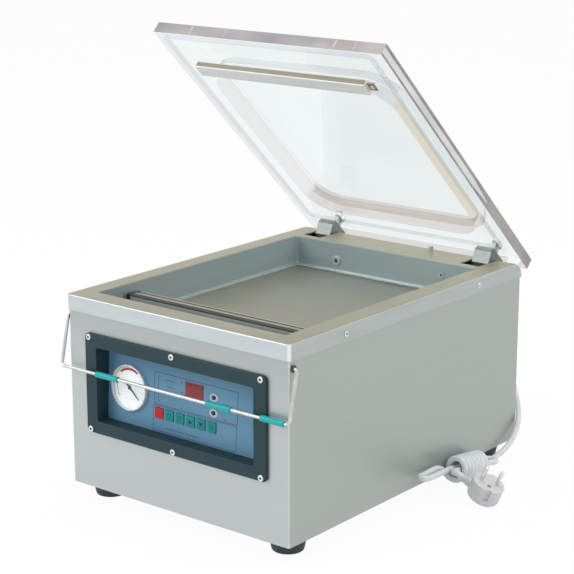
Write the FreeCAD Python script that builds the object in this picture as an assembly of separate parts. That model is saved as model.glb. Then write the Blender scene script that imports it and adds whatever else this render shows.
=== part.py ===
"""Tabletop chamber vacuum sealer, lid open, millimetres.

The model is laid out in cabinet coordinates: +X right seen from the front, +Y to the back, +Z up,
with the table at z = 0 and the middle of the cabinet at x = y = 0. Every piece is moved back by
ORIGIN_Y when it is written, so that the origin lies under the middle of the whole object.
"""
import FreeCAD, Part
import math
import os
from FreeCAD import Vector

# Cabinet
FRAME_W = 330.0
FRAME_D = 460.0
FRAME_TOP = 248.0
BAND_H = 19.0
BAND_PROUD = 1.5
SHEET = 1.2
FRAME_SHEET = 1.5
REAR_ROUND = 18.5
BODY_BOTTOM = 18.0
ORIGIN_Y = 5.333

# Chamber
TUB_HALF_W = 140.0
TUB_FRONT = -205.0
TUB_REAR = 166.0
TUB_DEPTH = 40.0
PORT_X = -75.0
PORT_Z = 224.0
AIR_X = 88.0
AIR_Z = 231.0

# Lid, given closed and then swung open
LID_W = 331.0
LID_FRONT = -215.0
LID_LENGTH = 434.0
LID_T = 15.0
LID_UNDER = 251.0
LID_OPEN = 43.4
HINGE_Y = 211.0
HINGE_Z = 216.6
HINGE_X = 123.0
ARM_W = 24.0
ARM_SHEET = 3.0
ARM_REACH = 36.0
DOME_HALF_W = 130.0
DOME_FRONT = -140.0
DOME_REAR = 154.0
DOME_DEPTH = 20.0
DOME_WALL = 8.0
DOME_CORNER = 38.0
SHAFT_R = 6.0
RUN_CLEARANCE = 0.05
PLUNGER_X = 48.0
PLUNGER_Y = 201.0
PLUNGER_R = 3.0
PLUNGER_PROUD = 8.0

# Counter bar under the lid and seal bar in the chamber
COUNTER_X0 = -130.0
COUNTER_X1 = 118.0
COUNTER_FRONT = -162.5
COUNTER_W = 18.0
COUNTER_H = 6.0
PAD_T = 1.5
BAR_HALF = 130.0
BAR_Y = -151.5
BAR_W = 19.0
BAR_TOP = 238.0
POST_X = 90.0
POST_R = 5.0

# Front bezel and the tilted control panel in its recess
BEZEL_HALF_W = 135.0
BEZEL_Z0 = 87.5
BEZEL_Z1 = 207.5
BEZEL_FRONT = -232.5
MOUTH_HALF_W = 117.5
MOUTH_Z0 = 103.0
MOUTH_Z1 = 192.0
BEZEL_WALL = 2.0
PANEL_Y = -212.5
PANEL_Z = 147.5
PANEL_TILT = 3.2
PANEL_T = 2.0
GAUGE_X = -83.0
GAUGE_V = -1.2
GAUGE_R = 27.2
GAUGE_RIM = 2.0
GAUGE_PROUD = 4.2
GAUGE_LIP = 1.0
NEEDLE_LENGTH = 19.5
NEEDLE_ANGLE = -40.0
KEY_SIZE = 12.5
KEY_PITCH = 15.85
KEY_X0 = -37.3
KEY_V = -22.0
KEY_NAMES = ("stop_key", "mode_key", "set_key", "raise_key", "lower_key", "heat_key")
LAMP_X = 43.5
LAMP_V = (12.4, -5.3)

# Wire bail
BAIL_Y = -223.0
BAIL_Z = 220.0
BAIL_BAR_Y = -236.3
BAIL_BAR_Z = 162.0
BAIL_HALF_W = 170.0
WIRE_R = 2.0
SLEEVE_R = 3.5
SLEEVE_SPANS = ((-113.5, -79.0), (54.5, 89.5), (131.0, 163.5))

# Feet
FOOT_X = 135.0
FOOT_Y = 195.0
FOOT_TOP_R = 22.0
FOOT_BOTTOM_R = 18.0

# Mains lead
CORD_R = 3.5
GLAND_X = 32.0
GLAND_Z = 165.0
GLAND_END = 249.5
LEAD_ROUTE = (
    (32.0, 249.5, 165.0),
    (32.0, 269.5, 165.0),
    (41.5, 287.0, 162.5),
    (57.5, 298.0, 157.5),
    (76.0, 300.0, 151.0),
    (93.0, 293.0, 142.0),
    (107.5, 280.5, 131.0),
    (122.0, 268.0, 117.0),
    (136.5, 255.5, 101.0),
    (149.5, 244.5, 82.0),
    (161.5, 238.0, 59.0),
    (171.0, 223.5, 36.0),
    (173.5, 199.0, 17.5),
    (171.2, 164.0, 8.5),
    (168.5, 130.0, 8.0),
)

# Hank of cord: a wrapped bundle whose axis climbs slightly towards the front
HANK_REAR = Vector(181.5, 116.0, 20.5)
HANK_AXIS = Vector(0.0, -0.9916, 0.1296)
WRAP_TURNS = 7
WRAP_PITCH = 7.6
WRAP_R = 13.0
PLUG_R = 19.5
PLUG_H = 24.0
PLUG_EDGE = 5.0
PLUG_NECK = 12.0
PLUG_TILT = 24.0
PLUG_ROLL = 35.0
PIN_SPACING = 19.0
PIN_R = 2.4
PIN_LENGTH = 19.0

BODY_HALF_W = FRAME_W / 2 - BAND_PROUD
BODY_HALF_D = FRAME_D / 2 - BAND_PROUD
LID_REAR = LID_FRONT + LID_LENGTH
TUB_FLOOR = FRAME_TOP - TUB_DEPTH
UNDER_FRAME = FRAME_TOP - FRAME_SHEET
X_AXIS = Vector(1, 0, 0)
Y_AXIS = Vector(0, 1, 0)
Z_AXIS = Vector(0, 0, 1)


def box(x0, x1, y0, y1, z0, z1):
    return Part.makeBox(x1 - x0, y1 - y0, z1 - z0, Vector(x0, y0, z0))


def rod(radius, start, end):
    run = Vector(*end) - Vector(*start)
    return Part.makeCylinder(radius, run.Length, Vector(*start), run)


def cone(radius0, radius1, start, end):
    run = Vector(*end) - Vector(*start)
    return Part.makeCone(radius0, radius1, run.Length, Vector(*start), run)


def fillet(solid, radius, chosen):
    """Round the edges whose bounding box passes the test."""
    return solid.makeFillet(radius, [edge for edge in solid.Edges if chosen(edge.BoundBox)])


def rounded_box(x0, x1, y0, y1, z0, z1, radius, axis):
    """Box whose four edges along the axis are rounded."""
    solid = box(x0, x1, y0, y1, z0, z1)
    along = [edge for edge in solid.Edges if abs(edge.tangentAt(edge.FirstParameter).dot(axis)) > 0.99]
    return solid.makeFillet(radius, along)


def prism_yz(points, x0, x1):
    """Polygon given as (y, z) pairs, extruded along X."""
    corners = [Vector(x0, y, z) for y, z in points]
    outline = Part.makePolygon(corners + corners[:1])
    return Part.Face(outline).extrude(Vector(x1 - x0, 0, 0))


def group(solids):
    return Part.makeCompound(solids)


def fused(solids):
    return solids[0].multiFuse(solids[1:]).removeSplitter()


def tube_path(points, bend=None):
    """Straight runs joined by tangent arcs, as large as the runs allow unless a bend is given."""
    corners = [Vector(*point) for point in points]
    edges = []
    radii = []
    start = corners[0]
    for before, corner, after in zip(corners, corners[1:], corners[2:]):
        back = (before - corner).normalize()
        ahead = (after - corner).normalize()
        half = (math.pi - back.getAngle(ahead)) / 2
        shorter = min((before - corner).Length, (after - corner).Length)
        radius = bend or 0.45 * shorter / math.tan(half)
        reach = radius * math.tan(half)
        centre_way = (back + ahead).normalize()
        middle = corner + centre_way * (radius / math.cos(half) - radius)
        edges.append(Part.LineSegment(start, corner + back * reach).toShape())
        edges.append(Part.Arc(corner + back * reach, middle, corner + ahead * reach).toShape())
        start = corner + ahead * reach
        radii.append(radius)
    edges.append(Part.LineSegment(start, corners[-1]).toShape())
    return Part.Wire(edges), radii


def tube(wire, radius):
    """Round tube swept along a smooth wire."""
    first = wire.OrderedEdges[0]
    heading = first.tangentAt(first.FirstParameter)
    circle = Part.makeCircle(radius, first.valueAt(first.FirstParameter), heading)
    shell = Part.BRepOffsetAPI.MakePipeShell(wire)
    shell.add(Part.Wire([circle]))
    shell.build()
    shell.makeSolid()
    return shell.shape()


def biarc(p0, t0, p1, t1):
    """Two tangent arcs from p0 heading t0 to p1 heading t1."""
    chord = p1 - p0
    total = t0 + t1
    spread = 2 * (1 - t0.dot(t1))
    if spread < 1e-9:
        reach = chord.dot(chord) / (4 * chord.dot(t1))
    else:
        along = chord.dot(total)
        reach = (math.sqrt(along * along + spread * chord.dot(chord)) - along) / spread
    middle = (p0 + t0 * reach + p1 - t1 * reach) * 0.5
    return [arc_from(p0, t0, middle), arc_from(p1, t1 * -1, middle, True)]


def arc_from(start, heading, end, flipped=False):
    """Arc that leaves start along the heading and reaches end, or a line where they agree."""
    chord = end - start
    side = chord - heading * chord.dot(heading)
    first, last = (end, start) if flipped else (start, end)
    if side.Length < 1e-6 * chord.Length:
        return Part.LineSegment(first, last).toShape()
    normal = side.normalize()
    radius = chord.dot(chord) / (2 * chord.dot(normal))
    centre = start + normal * radius
    outward = ((start + end) * 0.5 - centre)
    sign = 1.0 if chord.dot(heading) >= 0 else -1.0
    way = outward.normalize() * sign if outward.Length > 1e-9 else heading
    return Part.Arc(first, centre + way * radius, last).toShape()


def on_panel(shape):
    """Move a shape made on a flat panel at the origin, facing -Y, to the tilted control panel."""
    shape.rotate(Vector(0, 0, 0), X_AXIS, -PANEL_TILT)
    shape.translate(Vector(0, PANEL_Y, PANEL_Z))
    return shape


def opened(shape):
    """Swing a shape made on the closed lid to the open rest position."""
    shape.rotate(Vector(0, HINGE_Y, HINGE_Z), X_AXIS * -1, LID_OPEN)
    return shape


def screw(head_r, head_h, shank_r, length, seat, way):
    """Round-headed screw: the head stands on the seat point, the shank runs the other way."""
    seat = Vector(*seat)
    way = Vector(*way)
    head = Part.makeCylinder(head_r, head_h, seat, way)
    head = head.makeFillet(head_h * 0.45, [head.Edges[0]])
    slot = Part.makeCylinder(head_r * 0.45, head_h * 0.5, seat + way * (head_h * 0.6), way)
    return head.cut(slot).fuse(Part.makeCylinder(shank_r, length, seat, way * -1))


def bezel_screw_places():
    middle = (BEZEL_Z0 + BEZEL_Z1) / 2
    return [(x, middle + v) for x in (-128.0, 0.0, 128.0) for v in (-55.5, 55.5)]


def frame_screw_places():
    return [(side, y) for side in (-1, 1) for y in (-132.0, 132.0)]


def cabinet_shell():
    wrap = rounded_box(-BODY_HALF_W, BODY_HALF_W, -BODY_HALF_D, BODY_HALF_D + 10, BODY_BOTTOM, UNDER_FRAME,
                       2.5, Z_AXIS)
    wrap = wrap.cut(box(-200, 200, BODY_HALF_D - SHEET, 300, 0, 300))
    inner_w = BODY_HALF_W - SHEET
    wrap = wrap.cut(box(-inner_w, inner_w, -BODY_HALF_D + SHEET, 300, 0, 300))
    under_round = box(-200, 200, 180, 300, FRAME_TOP - BAND_H, 300)
    wrap = wrap.cut(under_round.cut(frame_block(FRAME_SHEET, REAR_ROUND - FRAME_SHEET)))
    wall = BEZEL_WALL
    mouth = box(-MOUTH_HALF_W - wall, MOUTH_HALF_W + wall, -300, 0, MOUTH_Z0 - wall, MOUTH_Z1 + wall)
    holes = [rod(1.5, (x, -300, z), (x, 0, z)) for x, z in bezel_screw_places()]
    holes += [rod(1.5, (100 * side, y, FRAME_TOP - 10.5), (200 * side, y, FRAME_TOP - 10.5))
              for side, y in frame_screw_places()]
    pivots = rod(WIRE_R + RUN_CLEARANCE, (-200, BAIL_Y, BAIL_Z), (200, BAIL_Y, BAIL_Z))
    return wrap.cut(fused([mouth] + holes + [pivots]))


def rear_panel():
    half = BODY_HALF_W - SHEET
    panel = box(-half, half, BODY_HALF_D - SHEET, BODY_HALF_D, BODY_BOTTOM, FRAME_TOP - BAND_H)
    slots = []
    for row in range(7):
        z = 50.0 + 12.0 * row
        slots.append(rounded_box(-120, -20, 200, 260, z, z + 4.0, 1.9, Y_AXIS))
    slots.append(rod(8.0, (GLAND_X, 200, GLAND_Z), (GLAND_X, 260, GLAND_Z)))
    return panel.cut(fused(slots))


def base_plate():
    half_w = BODY_HALF_W - SHEET
    half_d = BODY_HALF_D - SHEET
    plate = box(-half_w, half_w, -half_d, half_d, BODY_BOTTOM, BODY_BOTTOM + FRAME_SHEET)
    holes = [rod(2.5, (x, y, 0), (x, y, 40)) for x in (-FOOT_X, FOOT_X) for y in (-FOOT_Y, FOOT_Y)]
    for row in range(6):
        x = -100.0 + 16.0 * row
        holes.append(rounded_box(x, x + 5.0, -190, -90, 0, 40, 2.4, Z_AXIS))
    return plate.cut(fused(holes))


def frame_block(inset, radius):
    """Outside of the top frame, shrunk on all sides by the inset."""
    half_w = FRAME_W / 2 - inset
    half_d = FRAME_D / 2 - inset
    top = FRAME_TOP - inset
    solid = box(-half_w, half_w, -half_d, half_d, FRAME_TOP - BAND_H, top)
    return fillet(solid, radius, lambda b: b.YMin > half_d - 0.1 and b.ZMin > top - 0.1)


def top_frame():
    outside = frame_block(0.0, REAR_ROUND)
    front = -FRAME_D / 2
    outside = fillet(outside, 4.3, lambda b: b.YMax < front + 0.1 and b.ZLength > 10)
    outside = fillet(outside, 2.0, lambda b: b.YMax < front + 0.1 and b.ZMin > FRAME_TOP - 0.1)
    skin = outside.cut(frame_block(FRAME_SHEET, REAR_ROUND - FRAME_SHEET))
    mouth = rounded_box(-TUB_HALF_W, TUB_HALF_W, TUB_FRONT, TUB_REAR, 200, 300, 3.0, Z_AXIS)
    skin = skin.cut(mouth)
    slots = []
    for side in (-1, 1):
        x = side * HINGE_X
        half = ARM_W / 2 + 2.0
        slots.append(box(x - half, x + half, HINGE_Y - ARM_REACH, 260, HINGE_Z + 14.4, 300))
    slots.append(rod(PLUNGER_R + RUN_CLEARANCE, (PLUNGER_X, PLUNGER_Y, 200), (PLUNGER_X, PLUNGER_Y, 300)))
    for side, y in frame_screw_places():
        slots.append(rod(1.5, (100 * side, y, FRAME_TOP - 10.5), (200 * side, y, FRAME_TOP - 10.5)))
    return skin.cut(group(slots))


def chamber_tub():
    wall = SHEET
    inside = rounded_box(-TUB_HALF_W, TUB_HALF_W, TUB_FRONT, TUB_REAR, TUB_FLOOR, UNDER_FRAME, 3.0, Z_AXIS)
    inside = fillet(inside, 6.0, lambda b: b.ZMax < TUB_FLOOR + 0.1)
    outside = rounded_box(-TUB_HALF_W - wall, TUB_HALF_W + wall, TUB_FRONT - wall, TUB_REAR + wall,
                          TUB_FLOOR - wall, UNDER_FRAME, 3.0 + wall, Z_AXIS)
    outside = fillet(outside, 6.0 + wall, lambda b: b.ZMax < TUB_FLOOR - wall + 0.1)
    holes = [rod(POST_R + 0.5, (x, BAR_Y, 150), (x, BAR_Y, TUB_FLOOR + 3)) for x in (-POST_X, POST_X)]
    holes.append(rod(4.0, (PORT_X, 150, PORT_Z), (PORT_X, 190, PORT_Z)))
    holes.append(rod(2.5, (AIR_X, 150, AIR_Z), (AIR_X, 190, AIR_Z)))
    return outside.cut(inside).cut(group(holes))


def feet():
    feet_solids = []
    for x in (-FOOT_X, FOOT_X):
        for y in (-FOOT_Y, FOOT_Y):
            foot = cone(FOOT_BOTTOM_R, FOOT_TOP_R, (x, y, 0), (x, y, BODY_BOTTOM))
            foot = fillet(foot, 2.0, lambda b: b.ZMax < 0.1 and b.XLength > 5)
            foot = foot.cut(rod(6.0, (x, y, 0), (x, y, 9)))
            feet_solids.append(foot.cut(rod(2.5, (x, y, 0), (x, y, 30))))
    return group(feet_solids)


def foot_screws():
    return group([screw(5.0, 3.0, 2.5, 14.0, (x, y, 9.0), (0, 0, -1))
                  for x in (-FOOT_X, FOOT_X) for y in (-FOOT_Y, FOOT_Y)])


def frame_screws():
    z = FRAME_TOP - 10.5
    return group([screw(3.2, 1.4, 1.5, 6.0, (side * FRAME_W / 2, y, z), (side, 0, 0))
                  for side, y in frame_screw_places()])


def front_bezel():
    back = -BODY_HALF_D
    face = rounded_box(-BEZEL_HALF_W, BEZEL_HALF_W, BEZEL_FRONT, back, BEZEL_Z0, BEZEL_Z1, 6.0, Y_AXIS)
    face = fillet(face, 1.5, lambda b: b.YMax < BEZEL_FRONT + 0.1)
    wall = BEZEL_WALL
    half = MOUTH_HALF_W + wall
    sleeve = box(-half, half, back, PANEL_Y + 20, MOUTH_Z0 - wall, MOUTH_Z1 + wall)
    mouth = rounded_box(-MOUTH_HALF_W, MOUTH_HALF_W, -300, 0, MOUTH_Z0, MOUTH_Z1, 3.0, Y_AXIS)
    behind_panel = on_panel(box(-200, 200, 0, 60, -100, 100))
    holes = [rod(1.5, (x, -300, z), (x, 0, z)) for x, z in bezel_screw_places()]
    bezel = face.fuse(sleeve).cut(mouth).cut(behind_panel).cut(group(holes))
    return bezel.removeSplitter()


def bezel_screws():
    return group([screw(3.6, 1.6, 1.5, 9.0, (x, BEZEL_FRONT, z), (0, -1, 0))
                  for x, z in bezel_screw_places()])


def key_places():
    return [KEY_X0 + KEY_PITCH * number for number in range(len(KEY_NAMES))]


def control_panel():
    half_v = (MOUTH_Z1 - MOUTH_Z0) / 2 + BEZEL_WALL
    half_w = MOUTH_HALF_W + BEZEL_WALL
    plate = box(-half_w, half_w, 0, PANEL_T, -half_v, half_v)
    half_key = KEY_SIZE / 2 + 0.3
    holes = [box(x - half_key, x + half_key, -5, 5, KEY_V - half_key, KEY_V + half_key) for x in key_places()]
    holes.append(gauge_rod(GAUGE_R - GAUGE_LIP, -5, 5))
    holes.append(box(1.6, 28.1, -5, 5, 2.0, 22.8))
    holes += [rod(2.5, (LAMP_X, -5, v), (LAMP_X, 5, v)) for v in LAMP_V]
    return on_panel(plate.cut(group(holes)))


def display_window():
    window = box(1.6, 28.1, -0.8, PANEL_T, 2.0, 22.8)
    return on_panel(fillet(window, 0.6, lambda b: b.YMax < -0.7))


def indicator_lamps():
    lamps = []
    for v in LAMP_V:
        lamp = rod(2.5, (LAMP_X, -1.6, v), (LAMP_X, PANEL_T + 2, v))
        lamps.append(fillet(lamp, 1.2, lambda b: b.YMax < -1.5))
    return on_panel(group(lamps))


def gauge_rod(radius, y0, y1):
    """Round solid on the gauge's axis, from y0 to y1 behind the panel's face."""
    return rod(radius, (GAUGE_X, y0, GAUGE_V), (GAUGE_X, y1, GAUGE_V))


def gauge_case():
    ring = gauge_rod(GAUGE_R, -GAUGE_PROUD, 0)
    ring = fillet(ring, 0.9, lambda b: b.YMax < -GAUGE_PROUD + 0.1)
    can = gauge_rod(GAUGE_R - GAUGE_LIP, 0, 26)
    stem = gauge_rod(5.0, 26, 38)
    return on_panel(fused([ring, can, stem]).cut(gauge_rod(GAUGE_R - GAUGE_RIM, -10, 0)))


def gauge_dial():
    disc = gauge_rod(GAUGE_R - GAUGE_RIM, -0.8, 0)
    return on_panel(disc.cut(gauge_rod(0.8 + RUN_CLEARANCE, -5, 5)))


def gauge_lens():
    return on_panel(gauge_rod(GAUGE_R - GAUGE_RIM, -3.7, -2.9))


def gauge_needle():
    hub = gauge_rod(2.4, -2.1, -1.3)
    pin = gauge_rod(0.8, -2.4, -0.2)
    outline = [(-7.0, -1.1), (-7.0, 1.1), (0.0, 0.9), (NEEDLE_LENGTH, 0.25), (NEEDLE_LENGTH, -0.25)]
    outline.append((0.0, -0.9))
    corners = [Vector(GAUGE_X + u, -1.9, GAUGE_V + v) for u, v in outline]
    blade = Part.Face(Part.makePolygon(corners + corners[:1])).extrude(Vector(0, 0.5, 0))
    needle = fused([hub, pin, blade])
    needle.rotate(Vector(GAUGE_X, 0, GAUGE_V), Y_AXIS, -NEEDLE_ANGLE)
    return on_panel(needle)


def key(x):
    half = KEY_SIZE / 2
    cap = rounded_box(x - half, x + half, -1.2, 2.2, KEY_V - half, KEY_V + half, 1.0, Y_AXIS)
    cap = fillet(cap, 0.6, lambda b: b.YMax < -1.1)
    rim = box(x - half - 0.9, x + half + 0.9, 2.2, 3.0, KEY_V - half - 0.9, KEY_V + half + 0.9)
    return on_panel(cap.fuse(rim))


def control_board():
    board = box(-48, 112, 6.0, 7.6, -40, 40)
    chips = [box(-30 + 34 * n, -10 + 34 * n, 7.6, 11.0, 6, 24) for n in range(4)]
    pillars = [rod(3.0, (x, PANEL_T, v), (x, 6.0, v)) for x in (-42, 106) for v in (-35, 35)]
    return on_panel(fused([board] + chips + pillars))


def vacuum_port():
    flange = rod(6.5, (PORT_X, TUB_REAR - 1.6, PORT_Z), (PORT_X, TUB_REAR, PORT_Z))
    flange = fillet(flange, 0.8, lambda b: b.YMax < TUB_REAR - 1.5)
    stem = rod(4.0, (PORT_X, TUB_REAR - 1, PORT_Z), (PORT_X, TUB_REAR + 13, PORT_Z))
    return flange.fuse(stem).cut(rod(2.6, (PORT_X, 100, PORT_Z), (PORT_X, 250, PORT_Z)))


def air_port():
    flange = rod(4.0, (AIR_X, TUB_REAR - 0.8, AIR_Z), (AIR_X, TUB_REAR, AIR_Z))
    stem = rod(2.5, (AIR_X, TUB_REAR - 0.5, AIR_Z), (AIR_X, TUB_REAR + 13, AIR_Z))
    return flange.fuse(stem).cut(rod(1.4, (AIR_X, 100, AIR_Z), (AIR_X, 250, AIR_Z)))


def seal_bar():
    front = BAR_Y - BAR_W / 2
    rear = BAR_Y + BAR_W / 2
    bar = box(-BAR_HALF, BAR_HALF, front, rear, BAR_TOP - 22, BAR_TOP - 2)
    lip = box(-BAR_HALF, BAR_HALF, rear - 1.5, rear, BAR_TOP - 2, BAR_TOP - 0.4)
    groove = box(-BAR_HALF, BAR_HALF, front, front + 4, BAR_TOP - 12, BAR_TOP - 8)
    return bar.fuse(lip).cut(groove).removeSplitter()


def seal_insulator():
    front = BAR_Y - BAR_W / 2
    return box(-BAR_HALF, BAR_HALF, front, front + BAR_W - 1.5, BAR_TOP - 2, BAR_TOP - 0.5)


def heater_strip():
    return box(-BAR_HALF, BAR_HALF, BAR_Y - 2.5, BAR_Y + 2.5, BAR_TOP - 0.5, BAR_TOP)


def bar_end_blocks():
    blocks = []
    for side in (-1, 1):
        x0, x1 = sorted((side * BAR_HALF, side * (BAR_HALF + 6)))
        block = box(x0, x1, BAR_Y - BAR_W / 2, BAR_Y + BAR_W / 2, BAR_TOP - 20, BAR_TOP + 0.5)
        blocks.append(fillet(block, 2.0, lambda b: b.ZMin > BAR_TOP))
    return group(blocks)


def lift_posts():
    return group([rod(POST_R, (x, BAR_Y, 165), (x, BAR_Y, BAR_TOP - 22)) for x in (-POST_X, POST_X)])


def lift_cylinders():
    cups = []
    for x in (-POST_X, POST_X):
        cup = rod(20.0, (x, BAR_Y, 158), (x, BAR_Y, TUB_FLOOR - SHEET))
        cups.append(cup.cut(rod(POST_R + RUN_CLEARANCE, (x, BAR_Y, 162), (x, BAR_Y, 250))))
    return group(cups)


def lid_switch():
    body = box(42, 54, 191, 211, 224, 236)
    tab = box(42, 54, 211, BODY_HALF_D - SHEET, 224, 227)
    return body.fuse(tab)


def switch_plunger():
    top = FRAME_TOP + PLUNGER_PROUD
    stem = rod(PLUNGER_R, (PLUNGER_X, PLUNGER_Y, 242), (PLUNGER_X, PLUNGER_Y, top))
    stem = fillet(stem, 0.9, lambda b: b.ZMin > top - 0.1)
    return stem.fuse(rod(4.8, (PLUNGER_X, PLUNGER_Y, 242.5), (PLUNGER_X, PLUNGER_Y, 244)))


def hinge_shaft():
    return rod(SHAFT_R, (-146, HINGE_Y, HINGE_Z), (146, HINGE_Y, HINGE_Z))


def hinge_bearings():
    plates = []
    for side in (-1, 1):
        for x in (105.0, 141.0):
            middle = side * x
            plate = box(middle - 2, middle + 2, HINGE_Y - 11, BODY_HALF_D - SHEET, HINGE_Z - 12, HINGE_Z + 12)
            plates.append(plate.cut(rod(SHAFT_R, (-200, HINGE_Y, HINGE_Z), (200, HINGE_Y, HINGE_Z))))
    return group(plates)


def lid_springs():
    """Torsion springs round the shaft, shown as the sleeve that their turns fill."""
    sleeves = []
    for x in (-99.0, 59.0):
        sleeve = rod(SHAFT_R + 4, (x, HINGE_Y, HINGE_Z), (x + 40, HINGE_Y, HINGE_Z))
        sleeves.append(sleeve.cut(rod(SHAFT_R, (-200, HINGE_Y, HINGE_Z), (200, HINGE_Y, HINGE_Z))))
    return group(sleeves)


def lid_plate():
    half = LID_W / 2
    top = LID_UNDER + LID_T
    plate = rounded_box(-half, half, LID_FRONT, LID_REAR, LID_UNDER, top, 2.0, Z_AXIS)
    wall = DOME_WALL
    dome = rounded_box(-DOME_HALF_W - wall, DOME_HALF_W + wall, DOME_FRONT - wall, DOME_REAR + wall,
                       top - 2, LID_UNDER + DOME_DEPTH + wall, DOME_CORNER + wall, Z_AXIS)
    dome_top = LID_UNDER + DOME_DEPTH + wall
    dome = fillet(dome, 8.0, lambda b: b.ZMin > dome_top - 0.1)
    ceiling = LID_UNDER + DOME_DEPTH
    pocket = rounded_box(-DOME_HALF_W, DOME_HALF_W, DOME_FRONT, DOME_REAR, LID_UNDER - 5, ceiling,
                         DOME_CORNER, Z_AXIS)
    pocket = fillet(pocket, 3.0, lambda b: b.ZMin > ceiling - 0.1)
    lid = plate.fuse(dome).cut(pocket).removeSplitter()
    lid = fillet(lid, 2.0, lambda b: b.ZMax < LID_UNDER + 0.1 and abs(b.Center.x) < half - 5
                 and LID_FRONT + 5 < b.Center.y < LID_REAR - 5)
    bolts = [rod(2.5, (x, y, 0), (x, y, 400)) for x, y in hinge_bolt_places()]
    return opened(lid.cut(group(bolts)))


def hinge_bolt_places():
    return [(side * HINGE_X, HINGE_Y + y) for side in (-1, 1) for y in (-17.0, -8.0)]


def lid_gasket():
    outer = rounded_box(-153, 153, TUB_FRONT - 8.5, TUB_REAR + 8, FRAME_TOP + 0.3, LID_UNDER, 10.0, Z_AXIS)
    inner = rounded_box(-147.5, 147.5, TUB_FRONT - 3, TUB_REAR + 2.5, FRAME_TOP - 5, LID_UNDER + 5,
                        5.0, Z_AXIS)
    return opened(outer.cut(inner))


def counter_bar():
    rear = COUNTER_FRONT + COUNTER_W
    bar = box(COUNTER_X0, COUNTER_X1, COUNTER_FRONT, rear, LID_UNDER - COUNTER_H, LID_UNDER)
    lug = box(COUNTER_X1, COUNTER_X1 + 11, COUNTER_FRONT + 3, rear - 3, LID_UNDER - 2, LID_UNDER)
    return opened(bar.fuse(lug))


def counter_pad():
    low = LID_UNDER - COUNTER_H
    pad = box(COUNTER_X0, COUNTER_X1, COUNTER_FRONT, COUNTER_FRONT + COUNTER_W, low - PAD_T, low)
    return opened(fillet(pad, 1.0, lambda b: b.ZMax < low - PAD_T + 0.1 and b.XLength > 50))


def counter_bar_screw():
    seat = (COUNTER_X1 + 6, COUNTER_FRONT + COUNTER_W / 2, LID_UNDER - 2)
    return opened(screw(2.8, 1.6, 1.2, 1.9, seat, (0, 0, -1)))


def hinge_arm(side):
    """Folded steel goose neck: two cheeks that turn on the shaft and a front web between them."""
    x = side * HINGE_X
    half = ARM_W / 2
    knee = (HINGE_Y - 34.9, HINGE_Z + 28.1)
    profile = [(HINGE_Y - 32.5, LID_UNDER), (HINGE_Y - 3, LID_UNDER), (HINGE_Y + 8, HINGE_Z + 5),
               (HINGE_Y + 4, HINGE_Z - 9), (HINGE_Y - 5, HINGE_Z - 9), (HINGE_Y - 29.3, HINGE_Z + 12.8), knee]
    block = prism_yz(profile, x - half, x + half)
    block = fillet(block, 4.0, lambda b: b.XLength > 20 and abs(b.YMin - knee[0]) < 0.1 and b.YLength < 0.1)
    flange = LID_UNDER - 2.5
    hollow = [(HINGE_Y + 40, flange), (HINGE_Y + 40, HINGE_Z - 30), (HINGE_Y, HINGE_Z - 30),
              (HINGE_Y - 3, HINGE_Z - 6.8), (HINGE_Y - 26, HINGE_Z + 14), (HINGE_Y - 31.2, HINGE_Z + 28),
              (HINGE_Y - 29.6, flange)]
    block = block.cut(prism_yz(hollow, x - half + ARM_SHEET, x + half - ARM_SHEET))
    bore = rod(SHAFT_R + RUN_CLEARANCE, (-200, HINGE_Y, HINGE_Z), (200, HINGE_Y, HINGE_Z))
    bolts = [rod(2.5, (bx, by, LID_UNDER - 8), (bx, by, LID_UNDER + 8)) for bx, by in hinge_bolt_places()]
    return opened(block.cut(bore).cut(group(bolts)))


def hinge_clamps():
    top = LID_UNDER + LID_T
    plates = []
    for side in (-1, 1):
        x = side * HINGE_X
        plate = rounded_box(x - 12, x + 12, HINGE_Y - 25, HINGE_Y, top, top + 2.5, 3.0, Z_AXIS)
        holes = [rod(2.5, (bx, by, 0), (bx, by, 400)) for bx, by in hinge_bolt_places()]
        plates.append(plate.cut(group(holes)))
    return opened(group(plates))


def hinge_bolts():
    seat = LID_UNDER + LID_T + 2.5
    bolts = [screw(4.5, 3.5, 2.5, LID_T + 5.0, (x, y, seat), (0, 0, 1)) for x, y in hinge_bolt_places()]
    return opened(group(bolts))


def bail_wire():
    ends = BODY_HALF_W - 12
    route = [(-ends, BAIL_Y, BAIL_Z), (-BAIL_HALF_W, BAIL_Y, BAIL_Z), (-BAIL_HALF_W, BAIL_BAR_Y, BAIL_BAR_Z),
             (BAIL_HALF_W, BAIL_BAR_Y, BAIL_BAR_Z), (BAIL_HALF_W, BAIL_Y, BAIL_Z), (ends, BAIL_Y, BAIL_Z)]
    wire, radii = tube_path(route, bend=5.0)
    return tube(wire, WIRE_R)


def bail_sleeves():
    sleeves = []
    for x0, x1 in SLEEVE_SPANS:
        sleeve = rod(SLEEVE_R, (x0, BAIL_BAR_Y, BAIL_BAR_Z), (x1, BAIL_BAR_Y, BAIL_BAR_Z))
        sleeve = fillet(sleeve, 0.8, lambda b: b.XLength < 0.1)
        sleeves.append(sleeve.cut(rod(WIRE_R, (-200, BAIL_BAR_Y, BAIL_BAR_Z), (200, BAIL_BAR_Y, BAIL_BAR_Z))))
    return group(sleeves)


def vacuum_pump():
    block = rounded_box(-125, -25, 70, 205, 40, 140, 8.0, Y_AXIS)
    filler = rod(9.0, (-45, 100, 140), (-45, 100, 152))
    return block.fuse(filler)


def pump_motor():
    can = rod(50.0, (-75, -70, 90), (-75, 70, 90))
    ribs = [rod(53.0, (-75, y, 90), (-75, y + 4, 90)) for y in range(-50, 60, 14)]
    flat = box(-200, 0, -100, 100, 0, 40)
    return fused([can] + ribs).cut(flat)


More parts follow.
